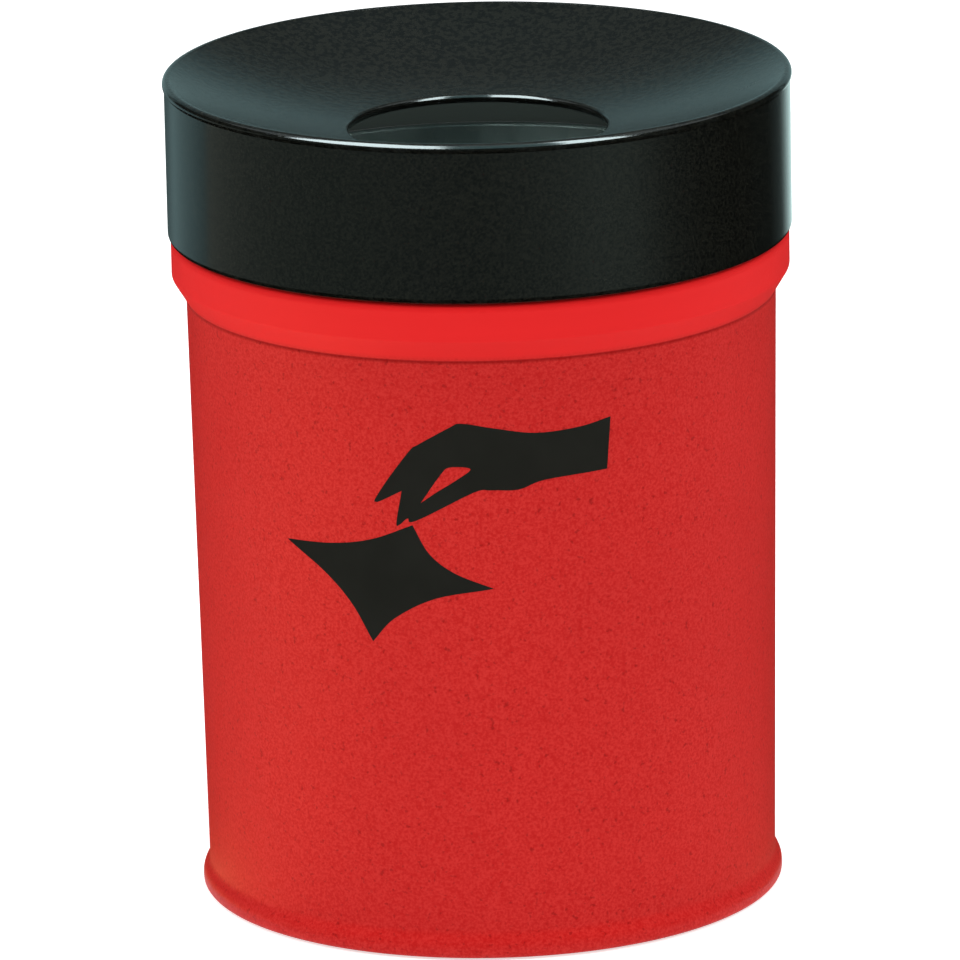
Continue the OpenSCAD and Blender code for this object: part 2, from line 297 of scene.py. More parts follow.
LINER_BASE_SECTION = [
    [0, liner_turn_z + 1.6],
    [liner_foot_line_r - 3 * seam_bend, liner_turn_z + 1.6, 2],
    [liner_foot_line_r - 3 * seam_bend, liner_turn_z + 9, seam_bend],
    [liner_foot_line_r - seam_bend, liner_turn_z + 9, seam_bend],
    [liner_foot_line_r - seam_bend, liner_turn_z + 0.8],
]

# ---- Lathed sheet ----

BEND_STEP, STRAIGHT_STEP, LATHE_STEPS = math.radians(7.5), 12.0, 240
EVEN_ANGLES = [2 * math.pi * k / LATHE_STEPS for k in range(LATHE_STEPS)]
# A ring this close to each bend keeps the straight beside it flat to the eye
NEAR_BEND = 0.4
CUT_EDGE_WEAR = 0.8
SHARP_EDGE, SHARP_KEPT_EDGE = math.radians(35), math.radians(30)


def unit(angle):
    return Vector((math.cos(angle), math.sin(angle)))


def left_of(v):
    return Vector((-v.y, v.x))


def heading(a, b):
    return math.atan2(b[1] - a[1], b[0] - a[0])


def turn(a, b):
    return (b - a + math.pi) % (2 * math.pi) - math.pi


def middle_line(path):
    """[(point, heading, bend radius or 0, mark of rubbed paint and painted shade or None)] along the middle of
    the sheet, straights cut up.
    """
    steps = []
    for i, corner in enumerate(path):
        place = Vector(corner[:2])
        mark = corner[3] if len(corner) > 3 else None
        if i == 0:
            steps.append((place, heading(path[0], path[1]), 0.0, mark))
            continue
        if i == len(path) - 1:
            steps.append((place, heading(path[i - 1], path[i]), 0.0, mark))
            continue
        a0 = heading(path[i - 1], path[i])
        bend = turn(a0, heading(path[i], path[i + 1]))
        radius = corner[2]
        if radius == 0:
            steps.append((place, a0, 0.0, mark))
            continue
        side = 1 if bend > 0 else -1
        start = place - unit(a0) * radius * math.tan(abs(bend) / 2)
        centre = start + left_of(unit(a0)) * radius * side
        count = max(3, math.ceil(abs(bend) / BEND_STEP), math.ceil(abs(bend) * radius / STRAIGHT_STEP))
        for k in range(count + 1):
            a = a0 + bend * k / count
            steps.append((centre - left_of(unit(a)) * radius * side, a, radius, mark))
    filled = [steps[0]]
    for step in steps[1:]:
        last = filled[-1]
        span = (step[0] - last[0]).length
        cuts = int(span // STRAIGHT_STEP)
        shares = [k / (cuts + 1) for k in range(1, cuts + 1)]
        if span > 5 * NEAR_BEND and abs(turn(last[1], step[1])) < 1e-4:
            shares = [NEAR_BEND / span, *shares, 1 - NEAR_BEND / span]
        for t in shares:
            filled.append((last[0].lerp(step[0], t), step[1] if last[2] else last[1], 0.0, None))
        filled.append(step)
    return filled


def sheet_ring(path, sheet):
    """Closed outline of the sheet's section, cut edges rounded: [(r, z, mark of rubbed paint and painted shade,
    how far it faces the axis)].
    """
    steps = middle_line(path)
    half = sheet / 2
    ring = []

    def side_points(order, sign):
        for k in order:
            place, a, radius, mark = steps[k]
            normal = left_of(unit(a)) * sign
            outside = turn(steps[k - 1][1], steps[k + 1][1]) * sign < 0
            if mark is None:
                mark = min(1.0, 2.0 / radius) if 0 < radius < 20 and outside else 0.0
            p = place + normal * half
            ring.append((p.x, p.y, mark, max(0.0, -normal.x)))

    def end_cap(k, direction):
        place, a, _, mark = steps[k]
        along = unit(a) * direction
        across = left_of(unit(a)) * direction
        for degrees in (90, 54, 18, -18, -54, -90):
            angle = math.radians(degrees)
            p = place + across * half * math.sin(angle) + along * half * (0.5 * math.cos(angle) - 0.5)
            ring.append((p.x, p.y, CUT_EDGE_WEAR if mark is None else mark, 0.0))

    count = len(steps)
    side_points(range(1, count - 1), 1)
    end_cap(count - 1, 1)
    side_points(range(count - 2, 0, -1), -1)
    if path[0][0] > 0.01:
        end_cap(0, -1)
    return ring, path[0][0] <= 0.01, steps[0][0], half


def new_piece(name, mesh, material, body):
    """A piece of the finished mesh, with smooth bends and sharp cut edges."""
    mesh.shade_smooth()
    mesh.set_sharp_from_angle(angle=SHARP_EDGE)
    mesh.materials.clear()
    mesh.materials.append(material)
    obj = bpy.data.objects.new(name, mesh)
    bpy.context.scene.collection.objects.link(obj)
    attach(obj, body)
    return obj


def lathe(name, path, sheet, material, body, nodes, angles=None, push=None, shaded=True):
    """A bent sheet turned about Z, with a mask of rubbed paint and painted shade and the mask "inside" for its
    material.

    push(angle, r, z) moves points out, for a lap; shaded marks the faces towards the axis."""
    ring, closed_middle, middle, half = sheet_ring(path, sheet)
    angles = angles or EVEN_ANGLES
    vertices, wear, inside, faces = [], [], [], []
    for a in angles:
        for r, z, rub_and_shade, facing in ring:
            out = r + (push(a, r, z) if push else 0.0)
            vertices.append((out * math.cos(a) * MM, out * math.sin(a) * MM, z * MM))
            wear.append(rub_and_shade)
            inside.append(facing if shaded else 0.0)
    rows, size = len(angles), len(ring)
    span = size - 1 if closed_middle else size
    for i in range(rows):
        j = (i + 1) % rows
        for k in range(span):
            m = (k + 1) % size
            faces.append((i * size + k, j * size + k, j * size + m, i * size + m))
    if closed_middle:
        for k, side in ((0, 1), (size - 1, -1)):
            centre = len(vertices)
            vertices.append((0, 0, (middle.y + half * side) * MM))
            wear.append(0.0)
            inside.append(0.0)
            for i in range(rows):
                faces.append((i * size + k, ((i + 1) % rows) * size + k, centre))
    mesh = bpy.data.meshes.new(name)
    mesh.from_pydata(vertices, [], faces)
    mesh.validate()
    mesh.update()
    for mask, values in (("wear", wear), ("inside", inside)):
        mesh.attributes.new(mask, "FLOAT", "POINT").data.foreach_set("value", values)
    work = bmesh.new()
    work.from_mesh(mesh)
    bmesh.ops.recalc_face_normals(work, faces=work.faces)
    work.to_mesh(mesh)
    work.free()
    obj = new_piece(name, mesh, material, body)
    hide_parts(*nodes)
    return obj


# ---- Materials ----


class Paint:
    """A short way to make a node material."""

    def __init__(self, name):
        self.material = bpy.data.materials.new(name)
        self.material.use_nodes = True
        self.nodes = self.material.node_tree.nodes
        self.links = self.material.node_tree.links
        self.shader = self.nodes["Principled BSDF"]

    def add(self, kind, values=None, **settings):
        node = self.nodes.new(kind)
        for key, value in settings.items():
            setattr(node, key, value)
        for key, value in (values or {}).items():
            if isinstance(value, tuple) and len(value) == 2 and isinstance(value[0], bpy.types.Node):
                self.links.new(value[0].outputs[value[1]], node.inputs[key])
            else:
                node.inputs[key].default_value = value
        return node

    def coordinates(self):
        return self.add("ShaderNodeTexCoord")

    def noise(self, where, scale, detail=2.0, roughness=0.5):
        return self.add("ShaderNodeTexNoise", {
            "Vector": (where, "Object"), "Scale": scale, "Detail": detail, "Roughness": roughness})

    def ramp(self, source, low, high, from_value=0.0, to_value=1.0):
        return self.add("ShaderNodeMapRange", {
            "Value": source, "From Min": low, "From Max": high, "To Min": from_value, "To Max": to_value})

    def math(self, operation, a, b):
        return self.add("ShaderNodeMath", {0: a, 1: b}, operation=operation)


def srgb(r, g, b):
    """Linear colour of an sRGB one, 0 to 255."""
    def one(c):
        c /= 255
        return c / 12.92 if c <= 0.04045 else ((c + 0.055) / 1.055) ** 2.4
    return (one(r), one(g), one(b), 1.0)


def mixed(paint, factor, a, b):
    """Output socket of a colour mix; a and b are colours or sockets, factor a socket or number."""
    node = paint.nodes.new("ShaderNodeMix")
    node.data_type = "RGBA"
    for identifier, value in (("Factor_Float", factor), ("A_Color", a), ("B_Color", b)):
        target = next(s for s in node.inputs if s.identifier == identifier)
        if isinstance(value, bpy.types.NodeSocket):
            paint.links.new(value, target)
        else:
            target.default_value = value
    return next(s for s in node.outputs if s.identifier == "Result_Color")


def powder_coat(
        name, colour, dark, light, worn, roughness, specular, speck, grain,
        tint=None, band=None, painted_inside_light=None, coarse_top=None):
    """Powder-coated steel: soft variation, fine dark specks, orange peel, edges rubbed a little, and painted
    shade in creases.

    band is (colour, low z, high z): above it the coat is painted a brighter, clearer red without specks, as
    painted light.
    painted_inside_light is the colour of the faces towards the axis: painted light, lighter and cooler than the
    coat.
    coarse_top is the scale of the grain on faces that look up: there the powder settles in larger grains, and
    the coat is duller."""
    p = Paint(name)
    where = p.coordinates()
    broad = p.noise(where, 9.0, 3.0, 0.55)
    fine = p.noise(where, 750.0, 2.0, 0.6)
    specks = p.noise(where, 430.0, 1.0, 0.5)
    peel = p.noise(where, 420.0, 2.0, 0.5)
    wear = p.add("ShaderNodeAttribute", attribute_name="wear")
    patch = p.noise(where, 75.0, 4.0, 0.7)
    broad_mask = p.ramp((broad, "Fac"), 0.35, 0.65)
    fine_mask = p.ramp((fine, "Fac"), 0.38, 0.62)
    if coarse_top:
        up = p.add("ShaderNodeSeparateXYZ", {"Vector": (p.add("ShaderNodeNewGeometry"), "Normal")})
        settled = p.noise(where, coarse_top, 2.0, 0.7)
        coarse = p.math("MULTIPLY", (p.ramp((settled, "Fac"), 0.4, 0.6, -0.7, 1.7), 0),
                        (p.ramp((up, "Z"), 0.6, 0.85), 0))
        rest = p.math("MULTIPLY", (fine_mask, 0), (p.ramp((up, "Z"), 0.6, 0.85, 1.0, 0.0), 0))
        fine_mask = p.math("ADD", (coarse, 0), (rest, 0))
    speck_mask = p.ramp((specks, "Fac"), 0.64, 0.74, 0.0, speck)
    base = mixed(p, broad_mask.outputs[0], colour, light)
    soft = p.math("MULTIPLY", (fine_mask, 0), grain)
    base = mixed(p, soft.outputs[0], base, dark)
    base = mixed(p, speck_mask.outputs[0], base, tuple(c * 0.55 for c in dark[:3]) + (1.0,))
    if band:
        split = p.add("ShaderNodeSeparateXYZ", {"Vector": (where, "Object")})
        # Painted light: above the band's heights the red is painted brighter and clearer
        clear = p.ramp((split, "Z"), band[1] * MM, band[2] * MM)
        base = mixed(p, clear.outputs[0], base, band[0])
    if painted_inside_light:
        # Painted light: the faces towards the axis are painted lighter and cooler than the coat
        inside = p.add("ShaderNodeAttribute", attribute_name="inside")
        base = mixed(p, p.ramp((inside, "Fac"), 0.6, 0.9).outputs[0], base, painted_inside_light)
    rub = p.math("MULTIPLY", (p.ramp((wear, "Fac"), 0, 1), 0),
                 (p.ramp((patch, "Fac"), 0.52, 0.75, 0.0, 0.2), 0))
    base = mixed(p, rub.outputs[0], base, worn)
    # Painted shade: negative marks darken the coat towards a tenth of its dark colour and make it rougher
    crease_shade = p.ramp((wear, "Fac"), 0, CREASE_SHADE)
    base = mixed(p, crease_shade.outputs[0], base, tuple(c * 0.1 for c in dark[:3]) + (1.0,))
    p.links.new(base, p.shader.inputs["Base Color"])
    rough = p.ramp((broad, "Fac"), 0.3, 0.7, roughness - 0.03, roughness + 0.03)
    rough = p.math("ADD", (rough, 0), (crease_shade, 0))
    rough = p.math("ADD", (rough, 0), (p.ramp((fine, "Fac"), 0.35, 0.65, -0.02, 0.02), 0))
    rough = p.math("SUBTRACT", (rough, 0), (p.math("MULTIPLY", (rub, 0), 0.12), 0))
    height = p.math("ADD", (peel, "Fac"), (p.math("MULTIPLY", (fine, "Fac"), 0.6), 0))
    if coarse_top:
        level = p.ramp((up, "Z"), 0.84, 0.92)
        rough = p.math("ADD", (rough, 0), (p.math("MULTIPLY", (level, 0), 0.1), 0))
        raised = p.math("MULTIPLY", (coarse, 0), (p.math("MULTIPLY", (level, 0), 0.8), 0))
        height = p.math("ADD", (height, 0), (raised, 0))
    p.links.new(rough.outputs[0], p.shader.inputs["Roughness"])
    bump = p.add("ShaderNodeBump", {"Height": (height, 0), "Strength": 0.35, "Distance": 0.00006})
    p.links.new(bump.outputs[0], p.shader.inputs["Normal"])
    p.shader.inputs["Specular IOR Level"].default_value = specular
    # Painted reflection tint: the coat's reflections are tinted cool
    if tint:
        p.shader.inputs["Specular Tint"].default_value = tint
    return p.material


def galvanised_steel(name):
    """Hot-dip galvanised sheet: interlocking spangles, each with its own grey and gloss, and painted shade,
    darker and cooler, on the faces towards the axis towards its top."""
    p = Paint(name)
    where = p.coordinates()
    warp = p.noise(where, 60.0, 2.0)
    mixed_place = p.add("ShaderNodeVectorMath", {0: (where, "Object")}, operation="ADD")
    shift = p.add("ShaderNodeVectorMath", {0: (warp, "Color"), "Scale": 0.006}, operation="SCALE")
    p.links.new(shift.outputs[0], mixed_place.inputs[1])
    cells = p.add("ShaderNodeTexVoronoi", {"Scale": 110.0})
    p.links.new(mixed_place.outputs[0], cells.inputs["Vector"])
    split = p.add("ShaderNodeSeparateColor", {"Color": (cells, "Color")})
    small = p.noise(where, 900.0, 3.0, 0.6)
    tone = p.ramp((split, 0), 0.0, 1.0)
    base = mixed(p, tone.outputs[0], srgb(150, 153, 154), srgb(186, 189, 190))
    grain = p.ramp((small, "Fac"), 0.35, 0.65, 0.0, 0.35)
    base = mixed(p, grain.outputs[0], base, srgb(128, 131, 133))
    inside = p.add("ShaderNodeAttribute", attribute_name="inside")
    place = p.add("ShaderNodeSeparateXYZ", {"Vector": (where, "Object")})
    # Painted shade: the faces towards the axis are painted darker and cooler towards the top
    inner_shade = p.math("MULTIPLY", (p.ramp((inside, "Fac"), 0.0, 0.4), 0),
                   (p.ramp((place, "Z"), 0.15, 0.33, 0.0, 0.93), 0))
    base = mixed(p, inner_shade.outputs[0], base, srgb(82, 101, 97))
    p.links.new(base, p.shader.inputs["Base Color"])
    rough = p.ramp((split, 1), 0.0, 1.0, 0.34, 0.52)
    p.links.new(rough.outputs[0], p.shader.inputs["Roughness"])
    p.shader.inputs["Metallic"].default_value = 0.85
    height = p.math("ADD", (p.math("MULTIPLY", (split, 2), 0.6), 0),
                    (p.math("MULTIPLY", (small, "Fac"), 0.5), 0))
    bump = p.add("ShaderNodeBump", {"Height": (height, 0), "Strength": 0.25, "Distance": 0.00008})
    p.links.new(bump.outputs[0], p.shader.inputs["Normal"])
    return p.material


def drawn_wire(name):
    """Zinc-plated drawn wire: brighter than the sheet, with fine lines and dull patches."""
    p = Paint(name)
    where = p.coordinates()
    dull = p.noise(where, 45.0, 4.0, 0.65)
    fine = p.noise(where, 1500.0, 2.0)
    base = mixed(p, p.ramp((dull, "Fac"), 0.4, 0.65).outputs[0], srgb(188, 191, 192), srgb(150, 152, 152))
    base = mixed(p, p.ramp((fine, "Fac"), 0.5, 0.75, 0.0, 0.3).outputs[0], base, srgb(110, 112, 112))
    p.links.new(base, p.shader.inputs["Base Color"])
    p.links.new(p.ramp((dull, "Fac"), 0.3, 0.7, 0.25, 0.42).outputs[0], p.shader.inputs["Roughness"])
    p.shader.inputs["Metallic"].default_value = 0.95
    bump = p.add("ShaderNodeBump", {"Height": (fine, "Fac"), "Strength": 0.2, "Distance": 0.00003})
    p.links.new(bump.outputs[0], p.shader.inputs["Normal"])
    return p.material


def moulded_rubber(name):
    """Dull black rubber with a moulded grain and dust on it."""
    p = Paint(name)
    where = p.coordinates()
    dust = p.noise(where, 130.0, 4.0, 0.7)
    grain = p.noise(where, 1400.0, 2.0)
    base = mixed(p, p.ramp((dust, "Fac"), 0.5, 0.75, 0.0, 0.6).outputs[0], srgb(38, 38, 38), srgb(82, 80, 76))
    p.links.new(base, p.shader.inputs["Base Color"])
    p.links.new(p.ramp((dust, "Fac"), 0.3, 0.7, 0.62, 0.8).outputs[0], p.shader.inputs["Roughness"])
    bump = p.add("ShaderNodeBump", {"Height": (grain, "Fac"), "Strength": 0.4, "Distance": 0.00006})
    p.links.new(bump.outputs[0], p.shader.inputs["Normal"])
    p.shader.inputs["Specular IOR Level"].default_value = 0.35
    return p.material


def vinyl_film(name):
    """Cut black film on the coat: flatter than the coat, with faint handling marks."""
    p = Paint(name)
    where = p.coordinates()
    cloud = p.noise(where, 30.0, 3.0, 0.6)
    grain = p.noise(where, 700.0, 2.0)
    base = mixed(p, p.ramp((cloud, "Fac"), 0.35, 0.65).outputs[0], srgb(27, 28, 23), srgb(30, 31, 26))
    p.links.new(base, p.shader.inputs["Base Color"])
    p.links.new(p.ramp((cloud, "Fac"), 0.3, 0.7, 0.5, 0.6).outputs[0], p.shader.inputs["Roughness"])
    bump = p.add("ShaderNodeBump", {"Height": (grain, "Fac"), "Strength": 0.1, "Distance": 0.00003})
    p.links.new(bump.outputs[0], p.shader.inputs["Normal"])
    p.shader.inputs["Specular IOR Level"].default_value = 0.12
    return p.material


# Above the shoulder the red is painted brighter and clearer: painted light on the shoulder and the collar
red_coat = powder_coat(
    "red_coat", srgb(184, 36, 33), srgb(165, 0, 0), srgb(188, 38, 34), srgb(214, 70, 60),
    roughness=0.5, specular=0.13, speck=0.6, grain=0.7, band=(srgb(207, 26, 27), 308.0, 312.5))
# The black's faces towards the axis are painted lighter and cooler, as painted light, and its reflections get a
# painted cool tint
black_coat = powder_coat(
    "black_coat", srgb(17, 18, 14), srgb(1, 1, 1), srgb(20, 20, 16), srgb(52, 57, 55),
    roughness=0.14, specular=0.45, speck=0.3, grain=0.9, tint=srgb(225, 244, 246), painted_inside_light=srgb(47, 54, 51),
    coarse_top=330.0)
galvanised = galvanised_steel("galvanised")
zinc_wire = drawn_wire("zinc_wire")
rubber = moulded_rubber("pad_rubber")
film = vinyl_film("figure_film")

# ---- Sheet-metal pieces ----

# The lap up the wall's back, with rings close together across its two edges
LAP_LOW_Z, LAP_HIGH_Z = FLARE_END_Z + 4, SHOULDER_Z - 3
lap_half = LAP_W / 2 / WALL_FOOT_R
lap_angles = sorted(
    [a for a in EVEN_ANGLES if abs(a - math.pi / 2) > lap_half * 1.6]
    + [math.pi / 2 + lap_half * t for t in (-1.25, -1.04, -1.0, -0.96, -0.5, 0.0, 0.5, 0.96, 1.0, 1.04, 1.25)])


def smooth_step(t):
    t = min(1.0, max(0.0, t))
    return t * t * (3 - 2 * t)


def wall_radius(z):
    """Radius of the wall's outer face, between the flare and the shoulder."""
    return WALL_FOOT_R + (WALL_TOP_R - WALL_FOOT_R) * (z - FLARE_END_Z) / (SHOULDER_Z - FLARE_END_Z)


def lap_push(angle, r, z):
    """Only the outer face of the wall stands proud where the sheet laps."""
    if not LAP_LOW_Z - 6 < z < LAP_HIGH_Z + 6 or r < wall_radius(z) - 0.4:
        return 0.0
    across = smooth_step((1.03 - abs(angle - math.pi / 2) / lap_half) / 0.06)
    along = smooth_step((z - LAP_LOW_Z + 0.5) / 1.0) * smooth_step((LAP_HIGH_Z + 0.5 - z) / 1.0)
    return LAP_PROUD * across * along


body_wall = lathe(
    "body_shell", BODY_SECTION, BODY_SHEET, red_coat, "body", ["body_wall"], lap_angles, lap_push)
base_plate = lathe("base_pan", BASE_SECTION, BODY_SHEET, red_coat, "body", ["base_plate"])
head_skirt = lathe("head_band", SKIRT_SECTION, HEAD_SHEET, black_coat, "head", ["head_skirt"])
# The funnel, and the skins on its rim and lip that carry the highlights
head_dish, rim_highlight_skin, lip_highlight_skin = [
    lathe(name, section, sheet, black_coat, "head", ["head_dish"], shaded=False)
    for name, section, sheet in (
        ("head_funnel", DISH_SECTION, HEAD_SHEET), ("head_rim_highlight_skin", RIM_HIGHLIGHT_SECTION, HIGHLIGHT_SKIN),
        ("head_lip_highlight_skin", LIP_HIGHLIGHT_SECTION, HIGHLIGHT_SKIN))]
liner_wall = lathe(
    "liner_shell", LINER_SECTION, LINER_SHEET, galvanised, "liner",
    ["liner_wall", "liner_rim_wire"])
liner_base = lathe(
    "liner_pan", LINER_BASE_SECTION, LINER_SHEET, galvanised, "liner", ["liner_base"])

kept_nodes = []
for name, material in (
        [(f"floor_pad_{n}", rubber) for n in (1, 2, 3, 4)]
        + [("liner_ear_left", galvanised), ("liner_ear_right", galvanised),
           ("ear_rivets", zinc_wire), ("bail_wire", zinc_wire)]):
    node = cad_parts[name]
    node.data.materials.clear()
    node.data.materials.append(material)
    node.data.shade_smooth()
    node.data.set_sharp_from_angle(angle=SHARP_KEPT_EDGE)
    kept_nodes.append(node)

# ---- Figure: a hand that drops a sheet, cut from film ----

# Outlines on the unrolled wall, in mm from where each image point meets it: (across, up, corner)
HAND_OUTLINE = [
    (60.5, 22.6, 1), (44, 19.3, 0), (21.7, 18, 0), (1, 21.2, 0), (-15.1, 23.9, 0), (-21.3, 21.7, 0),
    (-37, 12.7, 0), (-41.2, 9.6, 0), (-52.8, -5.8, 0), (-59.7, -16.4, 0), (-59.3, -17.8, 0), (-56.7, -17.1, 0),
    (-45.7, -11.3, 1), (-48.8, -28, 0), (-46.8, -28.5, 0), (-42.9, -25.3, 0), (-39, -26.5, 0),
    (-10.1, -11.6, 0), (-1, -10.4, 0), (12.6, -10.5, 0), (26.4, -6.2, 0), (58.2, -3.9, 1),
]
HAND_HOLE = [
    (-11, 0.7, 0), (-21.2, 1.5, 0), (-25.9, -2.3, 0), (-36.3, -17.3, 1), (-28, -11.4, 0), (-18, -5, 0),
]
SHEET_OUTLINE = [
    (-59.4, 15.8, 1), (-31.5, 17.6, 0), (-9.6, 21.9, 0), (11.9, 30.5, 1), (19.9, 16.1, 0), (32.3, 6.3, 0),
    (51.7, -1.8, 1), (22.9, -6.9, 0), (1.5, -18.1, 0), (-10.3, -30.9, 1), (-21.8, -11.9, 0), (-37.3, 2.8, 0),
]
SPAN_STEPS = 6


def smooth_outline(points):
    """Catmull-Rom through the points, broken at those marked as corners."""
    out = []
    count = len(points)
    for i in range(count):
        p1, p2 = points[i], points[(i + 1) % count]
        p0, p3 = points[i - 1], points[(i + 2) % count]
        a, b = Vector(p1[:2]), Vector(p2[:2])
        before = a * 2 - b if p1[2] else Vector(p0[:2])
        after = b * 2 - a if p2[2] else Vector(p3[:2])
        for k in range(SPAN_STEPS):
            t = k / SPAN_STEPS
            out.append(0.5 * ((2 * a) + (b - before) * t + (2 * before - 5 * a + 4 * b - after) * t * t
                              + (3 * a - before - 3 * b + after) * t ** 3))
    return out


# The film is cut into upright strips that bend with the wall, its back face sunk a little into it
FILM_THICK, FILM_SUNK, FILM_STRIP = 0.15, 0.05, 3.0


def cut_film(name, outlines, point):
    """Film on the wall about the place that an image point meets."""
    place = place_on(body_wall, point)
    middle_angle = math.atan2(place.x, -place.y)
    middle_z = place.z / MM
    curve = bpy.data.curves.new(name, "CURVE")
    curve.dimensions = "2D"
    curve.fill_mode = "BOTH"
    for outline in outlines:
        line = smooth_outline(outline)
        spline = curve.splines.new("POLY")
        spline.points.add(len(line) - 1)
        for target, p in zip(spline.points, line):
            target.co = (p.x, p.y, 0, 1)
        spline.use_cyclic_u = True
    flat = bpy.data.objects.new(name + "_flat", curve)
    bpy.context.scene.collection.objects.link(flat)
    bpy.context.view_layer.update()
    mesh = bpy.data.meshes.new_from_object(flat.evaluated_get(bpy.context.evaluated_depsgraph_get()))
    bpy.data.objects.remove(flat)
    work = bmesh.new()
    work.from_mesh(mesh)
    bmesh.ops.remove_doubles(work, verts=work.verts, dist=0.01)
    reach = max(abs(v.co.x) for v in work.verts)
    x = -math.floor(reach / FILM_STRIP) * FILM_STRIP
    while x < reach:
        bmesh.ops.bisect_plane(
            work, geom=work.verts[:] + work.edges[:] + work.faces[:],
            plane_co=(x, 0, 0), plane_no=(1, 0, 0), dist=0.001)
        x += FILM_STRIP
    top = work.faces[:]
    made = bmesh.ops.extrude_face_region(work, geom=top)
    lifted = {g for g in made["geom"] if isinstance(g, bmesh.types.BMVert)}
    for v in work.verts:
        z = middle_z + v.co.y
        wall_r = wall_radius(z)
        angle = middle_angle + v.co.x / wall_r
        out = wall_r + (FILM_THICK if v in lifted else -FILM_SUNK)
        v.co = Vector((math.sin(angle) * out, -math.cos(angle) * out, z)) * MM
    bmesh.ops.recalc_face_normals(work, faces=work.faces)
    work.to_mesh(mesh)
    work.free()
    return new_piece(name, mesh, film, "body")


hand = cut_film("figure_hand", [HAND_OUTLINE, HAND_HOLE], IMAGE_POINTS["figure_hand"])
sheet = cut_film("figure_sheet", [SHEET_OUTLINE], IMAGE_POINTS["figure_sheet"])

# ---- Floor, light and backdrop ----

# Half the floor's side in metres, its glow, how much more of it is seen, and the world's level
FLOOR_HALF, FLOOR_GLOW, FLOOR_SEEN_MORE, WORLD_LEVEL = 30, 0.28, 0.34, 0.56
# Where the floor cards lie and the wall cards stand, in metres, and the degrees that one face of a card spans
CARD_Z, STUDIO_R, CARD_STEP = 0.006, 5.9, 6


def seen_directly(nodes, links):
    """1 for what the camera sees, also in or through a surface, and 0 for light that falls on the object."""
    light_path = nodes.new("ShaderNodeLightPath")
    either = nodes.new("ShaderNodeMath")
    either.operation = "MAXIMUM"
    links.new(light_path.outputs["Is Camera Ray"], either.inputs[0])
    links.new(light_path.outputs["Is Glossy Ray"], either.inputs[1])
    any_of = nodes.new("ShaderNodeMath")
    any_of.operation = "MAXIMUM"
    links.new(either.outputs[0], any_of.inputs[0])
    links.new(light_path.outputs["Is Transmission Ray"], any_of.inputs[1])
    return any_of


def make_floor():
    far = FLOOR_HALF
    mesh = bpy.data.meshes.new("floor")
    mesh.from_pydata([(-far, -far, 0), (far, -far, 0), (far, far, 0), (-far, far, 0)], [], [(0, 1, 2, 3)])
    floor = bpy.data.objects.new("floor", mesh)
    bpy.context.scene.collection.objects.link(floor)
    p = Paint("floor")
    p.shader.inputs["Base Color"].default_value = (0.82, 0.82, 0.82, 1)
    p.shader.inputs["Roughness"].default_value = 0.9
    p.shader.inputs["Specular IOR Level"].default_value = 0.0
    seen = p.math("MULTIPLY_ADD", (seen_directly(p.nodes, p.links), 0), FLOOR_SEEN_MORE)
    seen.inputs[2].default_value = FLOOR_GLOW
    p.shader.inputs["Emission Color"].default_value = (1, 1, 1, 1)
    p.links.new(seen.outputs[0], p.shader.inputs["Emission Strength"])
    mesh.materials.append(p.material)


def make_world():
    world = bpy.data.worlds.new("studio")
    bpy.context.scene.world = world
    world.use_nodes = True
    nodes, links = world.node_tree.nodes, world.node_tree.links
    nodes.clear()
    out = nodes.new("ShaderNodeOutputWorld")
    plain = nodes.new("ShaderNodeBackground")
    plain.inputs["Color"].default_value = (1, 1, 1, 1)
    plain.inputs["Strength"].default_value = WORLD_LEVEL
    white = nodes.new("ShaderNodeBackground")
    white.inputs["Color"].default_value = (1, 1, 1, 1)
    white.inputs["Strength"].default_value = 1.0
    seen = nodes.new("ShaderNodeMixShader")
    links.new(seen_directly(nodes, links).outputs[0], seen.inputs[0])
    links.new(plain.outputs[0], seen.inputs[1])
    links.new(white.outputs[0], seen.inputs[2])
    links.new(seen.outputs[0], out.inputs[0])


def soft_light(name, place, target, size, power):
    data = bpy.data.lights.new(name, "AREA")
    data.shape = "RECTANGLE"
    data.size, data.size_y = size
    data.energy = power
    light = bpy.data.objects.new(name, data)
    bpy.context.scene.collection.objects.link(light)
    light.location = place
    light.rotation_mode = "QUATERNION"
    light.rotation_quaternion = (Vector(target) - Vector(place)).to_track_quat("-Z", "Y")
    return light


